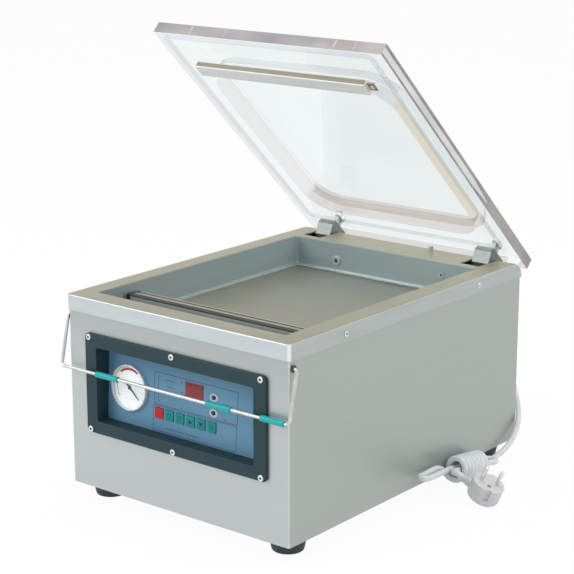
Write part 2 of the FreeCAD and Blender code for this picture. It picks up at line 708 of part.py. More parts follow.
def pump_mounts():
    floor = BODY_BOTTOM + FRAME_SHEET
    feet_places = [(x, y) for x in (-110, -40) for y in (90, 185)]
    mounts = [rod(11.0, (x, y, floor), (x, y, 40)) for x, y in feet_places]
    return group(mounts)


def transformer():
    floor = BODY_BOTTOM + FRAME_SHEET
    core = box(45, 125, -120, -70, floor, floor + 70)
    window = box(60, 110, -200, 0, floor + 15, floor + 55)
    winding = rounded_box(64, 106, -135, -55, floor + 15, floor + 55, 8.0, X_AXIS)
    return core.cut(window).fuse(winding)


def solenoid_valves():
    valves = []
    for x in (0.0, AIR_X):
        body = box(x - 15, x + 15, 182, BODY_HALF_D - SHEET, 150, 190)
        coil = rod(11.0, (x, 200, 120), (x, 200, 150))
        valves.append(body.fuse(coil))
    return group(valves)


def vacuum_hose():
    start = TUB_REAR + 13
    route = [(PORT_X, start, PORT_Z), (PORT_X, start + 14, PORT_Z), (PORT_X, start + 14, 140)]
    wire, radii = tube_path(route, bend=10.0)
    return tube(wire, 5.0)


def air_hose():
    start = TUB_REAR + 13
    route = [(AIR_X, start, AIR_Z), (AIR_X, start + 14, AIR_Z), (AIR_X, start + 14, 190)]
    wire, radii = tube_path(route, bend=10.0)
    return tube(wire, 3.5)


def cord_gland():
    face = BODY_HALF_D
    flange = rod(11.0, (GLAND_X, face, GLAND_Z), (GLAND_X, face + 3, GLAND_Z))
    plug = rod(8.0, (GLAND_X, face - 6, GLAND_Z), (GLAND_X, face, GLAND_Z))
    boot = cone(8.0, 5.0, (GLAND_X, face + 3, GLAND_Z), (GLAND_X, GLAND_END, GLAND_Z))
    return fused([flange, plug, boot])


def cord_lead():
    wire, radii = tube_path(LEAD_ROUTE)
    print("lead radii", [round(radius, 1) for radius in radii], "length", round(wire.Length, 1))
    lead = tube(wire, CORD_R)
    section = math.pi * CORD_R ** 2
    print("lead volume over section times length", round(lead.Volume / (section * wire.Length), 4))
    return lead


def hank_point(s, p, q):
    """Point of the hank: s along its axis from the rear wrap, p outwards, q upwards."""
    up = HANK_AXIS.cross(X_AXIS)
    return HANK_REAR + HANK_AXIS * s + X_AXIS * p + up * q


def hank_way(s, p, q):
    return (hank_point(s, p, q) - hank_point(0, 0, 0)).normalize()


def hank_nodes():
    """Points and headings of the hank: lead-in bend, wraps, front loop, core strands, tail."""
    length = WRAP_TURNS * WRAP_PITCH
    start = Vector(*LEAD_ROUTE[-1])
    heading = (start - Vector(*LEAD_ROUTE[-2])).normalize()
    nodes = [(start, heading), (start + heading * (2 * CORD_R), heading)]
    quarters = 4 * WRAP_TURNS
    for number in range(quarters + 1):
        angle = math.pi - number * math.pi / 2
        s = number * WRAP_PITCH / 4
        place = hank_point(s, WRAP_R * math.cos(angle), WRAP_R * math.sin(angle))
        rise = WRAP_PITCH / (2 * math.pi)
        nodes.append((place, hank_way(rise, WRAP_R * math.sin(angle), -WRAP_R * math.cos(angle))))
    nodes.append((hank_point(length + 11, -12.2, 8.4), hank_way(1.0, 0.08, -0.16)))
    nodes.append((hank_point(length + 56, -9.2, -0.9), hank_way(1.0, 0.02, -0.08)))
    nodes.append((hank_point(length + 61, -4.2, -1.4), hank_way(0.0, 1.0, 0.0)))
    nodes.append((hank_point(length + 56, 0.8, -1.6), hank_way(-1.0, 0.0, 0.0)))
    nodes.append((hank_point(length, -4.4, 0.0), hank_way(-1.0, 0.0, 0.0)))
    nodes.append((hank_point(-22, -6.5, 0.0), hank_way(-1.0, -0.08, 0.0)))
    nodes.append((hank_point(-30, 1.0, 0.0), hank_way(0.0, 1.0, 0.0)))
    nodes.append((hank_point(-22, 8.5, 0.0), hank_way(1.0, -0.08, 0.0)))
    nodes.append((hank_point(2, 4.4, 0.0), hank_way(1.0, 0.0, 0.0)))
    nodes.append((hank_point(length + 2, 4.4, 0.0), hank_way(1.0, 0.0, 0.0)))
    tail = hank_point(length + 12, 14.4, -0.4)
    nodes.append((tail, plug_way()))
    nodes.append((tail + plug_way() * (2 * CORD_R), plug_way()))
    return nodes


def plug_way():
    """Heading of the cord where it runs down into the tilted plug."""
    tilt = math.radians(PLUG_TILT)
    return Vector(math.cos(tilt), 0, -math.sin(tilt))


def hank_wire():
    nodes = hank_nodes()
    edges = []
    for (p0, t0), (p1, t1) in zip(nodes, nodes[1:]):
        edges += biarc(p0, t0, p1, t1)
    return Part.Wire(edges)


def cord_hank():
    wire = hank_wire()
    step = 2.0
    points = wire.discretize(Distance=step)
    apart = int(7 * CORD_R / step)
    gap = min((a - b).Length for i, a in enumerate(points) for b in points[i + apart:]) - 2 * CORD_R
    print("hank length", round(wire.Length, 1), "least gap to itself", round(gap, 2))
    hank = tube(wire, CORD_R)
    section = math.pi * CORD_R ** 2
    print("hank volume over section times length", round(hank.Volume / (section * wire.Length), 4))
    return hank


def plug_rise():
    """Height of the middle of the tipped plug's back over the table, with its low edge just clear of it."""
    tilt = math.radians(PLUG_TILT)
    return (PLUG_R - PLUG_EDGE) * math.sin(tilt) + PLUG_EDGE * (1 - math.cos(tilt)) + 0.5


def plug_neck_height():
    """Height of the neck above the plug's back, set by where the cord comes down."""
    tilt = math.radians(PLUG_TILT)
    drop = (PLUG_R + PLUG_NECK) * math.sin(tilt)
    return (hank_nodes()[-1][0].z - drop - plug_rise()) / math.cos(tilt)


def plug_placed(shape):
    """Tip a shape made on an upright plug at the origin and bring its neck to the end of the cord."""
    out = Vector(math.sin(math.radians(PLUG_TILT)), 0, math.cos(math.radians(PLUG_TILT)))
    shape.rotate(Vector(0, 0, 0), Y_AXIS, PLUG_TILT)
    shape.translate(hank_nodes()[-1][0] + plug_way() * (PLUG_R + PLUG_NECK) - out * plug_neck_height())
    return shape


def plug_body():
    puck = Part.makeCylinder(PLUG_R, PLUG_H)
    puck = fillet(puck, PLUG_EDGE, lambda b: b.ZMax < 0.1)
    puck = fillet(puck, 1.5, lambda b: b.ZMin > PLUG_H - 0.1)
    cuts = [rod(2.6, (0, -8.0, PLUG_H - 9), (0, -8.0, PLUG_H + 1))]
    for y in (-PLUG_R, PLUG_R):
        cuts.append(box(-3.0, 3.0, y - 2.5, y + 2.5, PLUG_H - 14, PLUG_H + 1))
    earth = group(cuts)
    earth.rotate(Vector(0, 0, 0), Z_AXIS, PLUG_ROLL)
    neck_height = plug_neck_height()
    neck = cone(4.6, 6.2, (-PLUG_R - PLUG_NECK, 0, neck_height), (-8, 0, neck_height))
    return plug_placed(puck.cut(earth).fuse(neck).removeSplitter())


def plug_pins():
    pins = []
    for x in (-PIN_SPACING / 2, PIN_SPACING / 2):
        pin = rod(PIN_R, (x, 0, PLUG_H), (x, 0, PLUG_H + PIN_LENGTH))
        pins.append(fillet(pin, 1.2, lambda b: b.ZMin > PLUG_H + PIN_LENGTH - 0.1))
    pair = group(pins)
    pair.rotate(Vector(0, 0, 0), Z_AXIS, PLUG_ROLL)
    return plug_placed(pair)


PIECES = {
    "cabinet_shell": cabinet_shell, "rear_panel": rear_panel, "base_plate": base_plate,
    "top_frame": top_frame, "chamber_tub": chamber_tub, "feet": feet, "foot_screws": foot_screws,
    "frame_screws": frame_screws, "front_bezel": front_bezel, "bezel_screws": bezel_screws,
    "control_panel": control_panel, "display_window": display_window, "indicator_lamps": indicator_lamps,
    "gauge_case": gauge_case, "gauge_dial": gauge_dial, "gauge_lens": gauge_lens,
    "gauge_needle": gauge_needle, "control_board": control_board, "vacuum_port": vacuum_port,
    "air_port": air_port, "seal_bar": seal_bar, "seal_insulator": seal_insulator,
    "heater_strip": heater_strip, "bar_end_blocks": bar_end_blocks, "lift_posts": lift_posts,
    "lift_cylinders": lift_cylinders, "lid_switch": lid_switch, "switch_plunger": switch_plunger,
    "hinge_shaft": hinge_shaft, "hinge_bearings": hinge_bearings, "lid_springs": lid_springs,
    "lid_plate": lid_plate, "lid_gasket": lid_gasket, "counter_bar": counter_bar,
    "counter_pad": counter_pad, "counter_bar_screw": counter_bar_screw, "hinge_clamps": hinge_clamps,
    "hinge_bolts": hinge_bolts, "bail_wire": bail_wire, "bail_sleeves": bail_sleeves,
    "vacuum_pump": vacuum_pump, "pump_motor": pump_motor, "pump_mounts": pump_mounts,
    "transformer": transformer, "solenoid_valves": solenoid_valves, "vacuum_hose": vacuum_hose,
    "air_hose": air_hose, "cord_gland": cord_gland, "cord_lead": cord_lead, "cord_hank": cord_hank,
    "plug_body": plug_body, "plug_pins": plug_pins,
}


def export(name, shape):
    shape = shape.copy()
    shape.translate(Vector(0, -ORIGIN_Y, 0))
    shape.exportStep(os.path.join("parts", name + ".step"))


def main():
    os.makedirs("parts", exist_ok=True)
    for name, make in PIECES.items():
        export(name, make())
    for name, x in zip(KEY_NAMES, key_places()):
        export(name, key(x))
    for name, side in (("hinge_arm_left", -1), ("hinge_arm_right", 1)):
        export(name, hinge_arm(side))


main()
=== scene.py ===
"""Looks of the tabletop vacuum sealer: finishes, printed panel, dial, seams and the mains cord, in metres."""

import math

import bpy
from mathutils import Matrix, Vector


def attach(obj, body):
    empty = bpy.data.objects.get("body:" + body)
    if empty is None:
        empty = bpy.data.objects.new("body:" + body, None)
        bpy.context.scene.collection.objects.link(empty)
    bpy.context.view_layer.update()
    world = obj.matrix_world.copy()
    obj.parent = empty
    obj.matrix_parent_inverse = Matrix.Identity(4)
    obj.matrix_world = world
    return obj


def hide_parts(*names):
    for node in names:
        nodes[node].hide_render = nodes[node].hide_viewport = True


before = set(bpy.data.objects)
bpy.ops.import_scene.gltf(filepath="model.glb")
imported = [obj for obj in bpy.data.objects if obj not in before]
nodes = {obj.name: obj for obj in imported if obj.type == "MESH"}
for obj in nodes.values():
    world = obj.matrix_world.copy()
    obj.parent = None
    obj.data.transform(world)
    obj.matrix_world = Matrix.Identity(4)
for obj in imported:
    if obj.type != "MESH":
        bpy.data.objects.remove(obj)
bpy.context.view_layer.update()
scene = bpy.context.scene

ORIGIN_Y = 5.333
PANEL_Y = -212.5
PANEL_Z = 147.5
PANEL_TILT = math.radians(3.2)
PANEL_PRINT = -0.06
GAUGE_X = -83.0
GAUGE_V = -1.2
DIAL_PRINT = -0.86
KEY_X = -37.3
KEY_V = -22.0
KEY_PITCH = 15.85
KEY_PRINT = -1.26
HINGE_Y = 211.0
HINGE_Z = 216.6
LID_OPEN = math.radians(43.4)
LID_UNDER = 251.0
LID_TOP = 266.0
BAIL_Y = -223.0
BAIL_Z = 220.0
CORD_R = 0.0035
SEAM_R = 0.0004
BUSH_R = 0.0008
UP = (0.0, 0.0, 1.0)
RIGHT = (1.0, 0.0, 0.0)
LEFT = (-1.0, 0.0, 0.0)
# Diagonal of the front-right corner, where the steel carries a painted highlight
CORNER = (0.7071, -0.7071, 0.0)


def row(x, y, z):
    """Cabinet millimetres to the shared frame in metres."""
    return Vector((x, y - ORIGIN_Y, z)) / 1000


def on_panel(x, y, v):
    """Point of the control panel: x across, v up, y into it."""
    c = math.cos(PANEL_TILT)
    s = math.sin(PANEL_TILT)
    return row(x, PANEL_Y + y * c + v * s, PANEL_Z - y * s + v * c)


def on_lid(x, y, z):
    """Point of the closed lid, swung to the open rest position."""
    dy = y - HINGE_Y
    dz = z - HINGE_Z
    c = math.cos(LID_OPEN)
    s = math.sin(LID_OPEN)
    return row(x, HINGE_Y + dy * c + dz * s, HINGE_Z - dy * s + dz * c)


# Camera, from the fit to the cabinet's edges in the picture

PICTURE_PX = 574.0
FOCAL_PX = 1774.86
SENSOR_MM = 36.0
CAMERA_AZIMUTH = math.radians(38.86)
CAMERA_ELEVATION = math.radians(14.83)
CAMERA_DISTANCE = 2.1394
CAMERA_TARGET = row(-23.51, 0.0, 231.49)


def aimed(direction):
    """Rotation that looks along a direction."""
    return direction.to_track_quat("-Z", "Y").to_euler()


def add_camera():
    level = math.cos(CAMERA_ELEVATION)
    away = Vector((math.sin(CAMERA_AZIMUTH) * level, -math.cos(CAMERA_AZIMUTH) * level,
                   math.sin(CAMERA_ELEVATION)))
    data = bpy.data.cameras.new("camera")
    data.sensor_width = SENSOR_MM
    data.lens = SENSOR_MM * FOCAL_PX / PICTURE_PX
    data.clip_end = 50.0
    camera = bpy.data.objects.new("camera", data)
    scene.collection.objects.link(camera)
    camera.location = CAMERA_TARGET + away * CAMERA_DISTANCE
    camera.rotation_euler = aimed(-away)
    scene.camera = camera


add_camera()


# Finishes

def socket(node, name, value):
    node.inputs[name].default_value = value


def new_material(name):
    """Material with its node tree and shader."""
    material = bpy.data.materials.new(name)
    material.use_nodes = True
    return material, material.node_tree, material.node_tree.nodes["Principled BSDF"]


def noise_at(tree, stretch, detail):
    """Noise over object space, stretched along the axes (cycles per metre)."""
    place = tree.nodes.new("ShaderNodeTexCoord")
    scale = tree.nodes.new("ShaderNodeMapping")
    socket(scale, "Scale", stretch)
    noise = tree.nodes.new("ShaderNodeTexNoise")
    socket(noise, "Scale", 1.0)
    socket(noise, "Detail", detail)
    tree.links.new(place.outputs["Object"], scale.inputs["Vector"])
    tree.links.new(scale.outputs["Vector"], noise.inputs["Vector"])
    return noise.outputs["Fac"]


def ramp(tree, source, spread, dark, light):
    """Colour that goes from dark to light as the source goes through the spread."""
    node = tree.nodes.new("ShaderNodeValToRGB")
    for element, position, colour in zip(node.color_ramp.elements, spread, (dark, light)):
        element.position = position
        element.color = (*colour, 1.0)
    tree.links.new(source, node.inputs["Fac"])
    return node.outputs["Color"]


def ranged(tree, source, reach, result):
    """Number that goes from one end of the result to the other as the source goes through its reach."""
    node = tree.nodes.new("ShaderNodeMapRange")
    socket(node, "From Min", reach[0])
    socket(node, "From Max", reach[1])
    socket(node, "To Min", result[0])
    socket(node, "To Max", result[1])
    tree.links.new(source, node.inputs["Value"])
    return node.outputs["Result"]


def facing(tree, way, reach):
    """How far the surface looks along a direction of object space, from 0 to 1 over the reach."""
    place = tree.nodes.new("ShaderNodeTexCoord")
    dot = tree.nodes.new("ShaderNodeVectorMath")
    dot.operation = "DOT_PRODUCT"
    dot.inputs[1].default_value = way
    tree.links.new(place.outputs["Normal"], dot.inputs[0])
    return ranged(tree, dot.outputs["Value"], reach, (0.0, 1.0))


def along_axis(tree, axis, reach):
    """Place along an axis of object space, from 0 to 1 over a reach in metres."""
    place = tree.nodes.new("ShaderNodeTexCoord")
    split = tree.nodes.new("ShaderNodeSeparateXYZ")
    tree.links.new(place.outputs["Object"], split.inputs["Vector"])
    return ranged(tree, split.outputs[axis], reach, (0.0, 1.0))


def mixed(tree, share, first, second):
    """Colour that goes from the first to the second with the share."""
    node = tree.nodes.new("ShaderNodeMix")
    node.data_type = "RGBA"
    tree.links.new(share, node.inputs[0])
    tree.links.new(first, node.inputs[6])
    tree.links.new(second, node.inputs[7])
    return node.outputs[2]


def finish(name, dark, light, stretch, rough, metal=0.0, bump=0.0, depth=0.0003, detail=5.0, spread=(0.3, 0.7),
           coat=0.0, specular=0.5, faces=(), rise=None):
    """Surface whose colour, roughness and relief vary with noise. A stretch of one number is the same along
    all axes. The rise is a span of heights in metres and the two colours above it. Each of the faces is a
    direction, a reach and the two colours of surfaces that look that way."""
    material, tree, shader = new_material(name)
    socket(shader, "Metallic", metal)
    socket(shader, "Specular IOR Level", specular)
    socket(shader, "Coat Weight", coat)
    noise = noise_at(tree, stretch if isinstance(stretch, tuple) else (stretch,) * 3, detail)
    colour = ramp(tree, noise, spread, dark, light)
    if rise:
        colour = mixed(tree, along_axis(tree, "Z", rise[0]), colour, ramp(tree, noise, spread, *rise[1:]))
    for way, reach, *pair in faces:
        colour = mixed(tree, facing(tree, way, reach), colour, ramp(tree, noise, spread, *pair))
    tree.links.new(colour, shader.inputs["Base Color"])
    tree.links.new(ranged(tree, noise, spread, rough), shader.inputs["Roughness"])
    if bump:
        relief = tree.nodes.new("ShaderNodeBump")
        socket(relief, "Strength", bump)
        socket(relief, "Distance", depth)
        tree.links.new(noise, relief.inputs["Height"])
        tree.links.new(relief.outputs["Normal"], shader.inputs["Normal"])
    return material


def clear(name, rough, ior, tint):
    """Clear solid with a faint cloudiness in its polish. The low index stands for optically flat sheet, and
    the coat gives the gloss."""
    material, tree, shader = new_material(name)
    socket(shader, "Base Color", (*tint, 1.0))
    socket(shader, "Transmission Weight", 1.0)
    socket(shader, "IOR", ior)
    socket(shader, "Coat Weight", 0.5)
    socket(shader, "Coat Roughness", 0.04)
    noise = noise_at(tree, (14.0, 14.0, 14.0), 6.0)
    tree.links.new(ranged(tree, noise, (0.3, 0.7), rough), shader.inputs["Roughness"])
    return material, tree, shader


def place_ramp(tree, axis, reach, low, high):
    """Colour that goes from low to high along an axis of object space, over a reach in metres."""
    return ramp(tree, along_axis(tree, axis, reach), (0.0, 1.0), low, high)


def acrylic():
    """Lid sheet. The walls of its pocket carry painted reflections, warm on the right, grey on the left and
    lilac at the rear, and the outside of the dome stays clear."""
    material, tree, shader = clear("acrylic", (0.0, 0.04), 1.03, (0.92, 0.95, 0.96))
    along = (0.0, -math.cos(LID_OPEN), math.sin(LID_OPEN))
    back = (0.0, math.cos(LID_OPEN), -math.sin(LID_OPEN))
    # Painted reflections on the pocket's walls, chosen by the way each wall faces
    side_reflection = place_ramp(tree, "X", (-0.05, 0.05), (0.775, 0.775, 0.760), (0.86, 0.68, 0.48))
    end_reflection = place_ramp(tree, "Y", (-0.1, 0.12), (0.90, 0.92, 0.93), (0.56, 0.52, 0.48))
    sheet = ramp(tree, noise_at(tree, (6.0, 6.0, 6.0), 3.0), (0.3, 0.7), (0.890, 0.938, 0.960),
                 (0.910, 0.950, 0.968))
    colour = sheet
    # mix in the painted reflections by facing
    for way, tint in ((RIGHT, side_reflection), (LEFT, side_reflection), (along, end_reflection), (back, end_reflection)):
        colour = mixed(tree, facing(tree, way, (0.08, 0.4)), colour, tint)
    # The outer face of the dome's wall on each side keeps the sheet's colour, without the painted reflections
    for side in (-1, 1):
        outside = tree.nodes.new("ShaderNodeMath")
        outside.operation = "MULTIPLY"
        tree.links.new(along_axis(tree, "X", (side * 0.1325, side * 0.1345)), outside.inputs[0])
        tree.links.new(along_axis(tree, "X", (side * 0.152, side * 0.150)), outside.inputs[1])
        colour = mixed(tree, outside.outputs["Value"], colour, sheet)
    tree.links.new(colour, shader.inputs["Base Color"])
    return material


def tub_steel():
    """Chamber sheet: slate walls, and a floor that goes from painted shade, slate, at the rear to a painted
    warm reflection, tan, at the front.
    """
    material, tree, shader = new_material("steel_tub")
    socket(shader, "Metallic", 0.25)
    noise = noise_at(tree, (5.0, 5.0, 240.0), 4.0)
    wall = ramp(tree, noise, (0.3, 0.7), (0.325, 0.405, 0.430), (0.355, 0.435, 0.460))
    # painted light on the up-facing floor: painted shade at the rear, a painted warm reflection at the front
    floor = place_ramp(tree, "Y", (-0.20, 0.15), (0.240, 0.222, 0.160), (0.150, 0.168, 0.150))
    colour = mixed(tree, facing(tree, UP, (0.35, 0.8)), wall, floor)
    tree.links.new(colour, shader.inputs["Base Color"])
    tree.links.new(ranged(tree, noise, (0.3, 0.7), (0.32, 0.42)), shader.inputs["Roughness"])
    return material


STEEL = finish("steel_side", (0.510, 0.550, 0.565), (0.525, 0.565, 0.580), (3, 3, 260), (0.36, 0.42), 0.5, 0.01,
               0.0001,
               # painted shade: the steel goes darker towards the top, under the top band's overhang
               rise=((0.16, 0.235), (0.415, 0.450, 0.455), (0.435, 0.470, 0.475)),
               # painted shade: faces that look right are darker and greener than the front
               faces=((RIGHT, (0.75, 0.98), (0.405, 0.440, 0.425), (0.420, 0.455, 0.440)),
                      # painted highlight along the rounded front-right corner
                      (CORNER, (0.90, 0.985), (0.60, 0.64, 0.66), (0.66, 0.70, 0.72))))
TOP = finish("steel_top", (0.54, 0.60, 0.635), (0.59, 0.65, 0.685), (12, 12, 120), (0.34, 0.42), 0.5, 0.02,
             0.0001,
             # painted shade: faces that look right are darker
             faces=((RIGHT, (0.75, 0.98), (0.415, 0.460, 0.465), (0.470, 0.515, 0.525)),
                    # painted highlight on the front-right corner
                    (CORNER, (0.80, 0.985), (0.80, 0.86, 0.90), (0.90, 0.94, 0.96)),
                    # painted reflection: up-facing faces take a warm tan, the reflection of the warm overhead
                    (UP, (0.5, 0.9), (0.262, 0.248, 0.175), (0.310, 0.302, 0.230))))
TUB = tub_steel()
BRIGHT = finish("steel_bright", (0.66, 0.67, 0.67), (0.84, 0.85, 0.85), 160, (0.22, 0.36), 0.8, 0.03)
WIRE = finish("steel_wire", (0.50, 0.51, 0.50), (0.68, 0.69, 0.68), 90, (0.28, 0.40), 0.6, 0.03)
HINGE = finish("steel_hinge", (0.14, 0.165, 0.16), (0.25, 0.275, 0.265), (120, 120, 300), (0.30, 0.45), 0.6,
               0.05)
SEAM = finish("steel_seam", (0.36, 0.41, 0.41), (0.66, 0.69, 0.69), 260, (0.25, 0.45), 0.3, 0.2, 0.0004)
RUBBER = finish("rubber", (0.010, 0.022, 0.030), (0.020, 0.038, 0.048), 400, (0.5, 0.7), 0.0, 0.15)
BEZEL = finish("bezel_slate", (0.015, 0.042, 0.053), (0.021, 0.054, 0.066), 900, (0.50, 0.66), 0.0, 0.20,
               0.0002, specular=0.3)
PANEL = finish("panel_film", (0.100, 0.245, 0.400), (0.135, 0.300, 0.465), 6, (0.42, 0.52), specular=0.35)
TEAL = finish("key_teal", (0.004, 0.235, 0.235), (0.008, 0.285, 0.285), 150, (0.42, 0.55), bump=0.05,
              specular=0.25)
RED = finish("key_red", (0.450, 0.012, 0.024), (0.560, 0.022, 0.036), 150, (0.42, 0.55), bump=0.05,
             specular=0.25)
DISPLAY = finish("display_red", (0.200, 0.010, 0.014), (0.270, 0.018, 0.022), 60, (0.2, 0.3), coat=0.15)
DARK = finish("moulded_dark", (0.010, 0.014, 0.016), (0.024, 0.030, 0.034), 600, (0.45, 0.65), bump=0.15)
DIAL = finish("dial_card", (0.72, 0.755, 0.77), (0.80, 0.83, 0.845), 90, (0.5, 0.62))
RING = finish("gauge_ring", (0.64, 0.68, 0.70), (0.76, 0.80, 0.82), 200, (0.24, 0.38), 0.3, 0.03)
INK = finish("ink_dark", (0.010, 0.022, 0.035), (0.020, 0.036, 0.052), 700, (0.55, 0.7))
INK_MID = finish("ink_middle", (0.040, 0.095, 0.165), (0.058, 0.125, 0.205), 700, (0.55, 0.7))
INK_BLACK = finish("ink_black", (0.010, 0.012, 0.014), (0.024, 0.026, 0.030), 700, (0.5, 0.65))
INK_RED = finish("ink_red", (0.28, 0.012, 0.022), (0.36, 0.022, 0.034), 500, (0.5, 0.65))
INK_YELLOW = finish("ink_yellow", (0.80, 0.68, 0.34), (0.88, 0.76, 0.42), 500, (0.5, 0.65))
INK_GREEN = finish("ink_green", (0.10, 0.16, 0.13), (0.14, 0.21, 0.17), 500, (0.5, 0.65))
INK_PALE = finish("ink_pale", (0.44, 0.49, 0.60), (0.54, 0.59, 0.70), 500, (0.5, 0.65))
PAD = finish("pad_silicone", (0.68, 0.73, 0.77), (0.76, 0.81, 0.85), (40, 120, 120), (0.4, 0.6), bump=0.05)
OLIVE = finish("bar_olive", (0.23, 0.205, 0.150), (0.30, 0.275, 0.210), (4, 300, 300), (0.40, 0.55), 0.3, 0.05,
               # painted highlight: faces that look right, the bar's right end, are painted pale
               faces=((RIGHT, (0.5, 0.9), (0.80, 0.78, 0.70), (0.90, 0.88, 0.80)),))
BAR = finish("bar_alloy", (0.40, 0.45, 0.45), (0.50, 0.55, 0.55), (4, 400, 400), (0.30, 0.45), 0.5, 0.05)
CLOTH = finish("heater_cloth", (0.016, 0.022, 0.022), (0.040, 0.046, 0.044), 500, (0.6, 0.8), bump=0.1)
RIBBON = finish("heater_ribbon", (0.26, 0.24, 0.17), (0.36, 0.33, 0.25), (6, 300, 300), (0.35, 0.5), 0.5)
BOARD = finish("circuit_board", (0.012, 0.10, 0.035), (0.02, 0.15, 0.055), 300, (0.35, 0.5))
SLEEVE = finish("sleeve_teal", (0.008, 0.370, 0.400), (0.014, 0.450, 0.480), (40, 300, 300), (0.34, 0.46),
                bump=0.05, specular=0.35)
IRON = finish("pump_paint", (0.10, 0.11, 0.12), (0.16, 0.17, 0.18), 200, (0.45, 0.6), bump=0.15)
CORD = finish("cord_skin", (0.70, 0.75, 0.81), (0.80, 0.84, 0.89), 220, (0.36, 0.5), bump=0.06)
PLUG = finish("plug_skin", (0.60, 0.63, 0.67), (0.70, 0.73, 0.77), 260, (0.34, 0.48), bump=0.10)
EDGE = finish("lid_edge_cut", (0.26, 0.255, 0.305), (0.46, 0.440, 0.450), (8, 14, 14), (0.35, 0.6), detail=3.0,
              spread=(0.38, 0.62))
# Painted reflection in the lid's clear edge: dark lines, a pale core and glints that are painted highlights
EDGE_REFLECTION_LINE = finish("lid_edge_line", (0.22, 0.22, 0.27), (0.38, 0.37, 0.42), (20, 40, 40), (0.35, 0.6))
EDGE_REFLECTION_CORE = finish("lid_edge_painted_core", (0.66, 0.66, 0.68), (0.86, 0.86, 0.87), (10, 20, 20), (0.35, 0.6),
                   detail=3.0)
EDGE_GLINT = finish("lid_edge_glint", (0.46, 0.45, 0.48), (0.66, 0.65, 0.67), (60, 60, 160), (0.35, 0.6),
                    detail=3.0)
ACRYLIC = acrylic()
LENS = clear("gauge_glass", (0.0, 0.03), 1.04, (0.98, 0.99, 0.99))[0]
GASKET = clear("gasket_silicone", (0.0, 0.04), 1.0, (0.86, 0.89, 0.90))[0]

DRESS = {
    "cabinet_shell": STEEL, "rear_panel": STEEL, "base_plate": STEEL, "top_frame": TOP, "chamber_tub": TUB,
    "feet": RUBBER, "foot_screws": BRIGHT, "frame_screws": BRIGHT, "front_bezel": BEZEL, "bezel_screws": BRIGHT,
    "control_panel": PANEL, "display_window": DISPLAY, "indicator_lamps": DARK, "gauge_case": RING,
    "gauge_dial": DIAL, "gauge_lens": LENS, "gauge_needle": INK_BLACK, "control_board": BOARD,
    "vacuum_port": BAR, "air_port": BAR, "seal_bar": BAR, "seal_insulator": CLOTH, "heater_strip": RIBBON,
    "bar_end_blocks": DARK, "lift_posts": BRIGHT, "lift_cylinders": BAR, "lid_switch": DARK,
    "switch_plunger": BAR, "hinge_shaft": BRIGHT, "hinge_bearings": HINGE, "lid_springs": BRIGHT,
    "lid_plate": ACRYLIC, "lid_gasket": GASKET, "counter_bar": OLIVE, "counter_pad": PAD,
    "counter_bar_screw": BRIGHT, "hinge_clamps": LENS, "hinge_bolts": BRIGHT, "hinge_arm_left": HINGE,
    "hinge_arm_right": HINGE, "bail_wire": WIRE, "bail_sleeves": SLEEVE, "vacuum_pump": IRON,
    "pump_motor": IRON, "pump_mounts": RUBBER, "transformer": IRON, "solenoid_valves": DARK,
    "vacuum_hose": RUBBER, "air_hose": RUBBER, "cord_gland": PLUG, "plug_body": PLUG, "plug_pins": BRIGHT,
    "cord_lead": CORD, "cord_hank": CORD, "stop_key": RED, "mode_key": TEAL, "set_key": TEAL, "raise_key": TEAL,
    "lower_key": TEAL, "heat_key": TEAL,
}
for name, material in DRESS.items():
    nodes[name].data.materials.clear()
    nodes[name].data.materials.append(material)
for name in ("lid_plate", "lid_gasket", "gauge_lens", "hinge_clamps"):
    nodes[name].visible_shadow = False


# Mains cord: the lead's route, then the hank as more points of the same spline

LEAD = (
    (32.0, 249.5, 165.0), (32.0, 269.5, 165.0), (41.5, 287.0, 162.5), (57.5, 298.0, 157.5),
    (76.0, 300.0, 151.0), (93.0, 293.0, 142.0), (107.5, 280.5, 131.0), (122.0, 268.0, 117.0),
    (136.5, 255.5, 101.0), (149.5, 244.5, 82.0), (161.5, 238.0, 59.0), (171.0, 223.5, 36.0),
    (173.5, 199.0, 17.5), (171.2, 164.0, 8.5), (168.5, 130.0, 8.0),
)
WRAP_TURNS = 7
WRAP_PITCH = 7.6
WRAP_R = 13.0
WRAP_POINTS = 12
HANK_X = 181.5
HANK_Y = 116.0
HANK_Z = 20.5
HANK_COS = 0.9916
HANK_SIN = 0.1296
CURVE_SHARE = 0.977


def in_hank(s, p, q):
    """Point of the hank: s along its axis from the rear wrap, p outwards, q upwards."""
    return row(HANK_X + p, HANK_Y - HANK_COS * s + HANK_SIN * q, HANK_Z + HANK_SIN * s + HANK_COS * q)


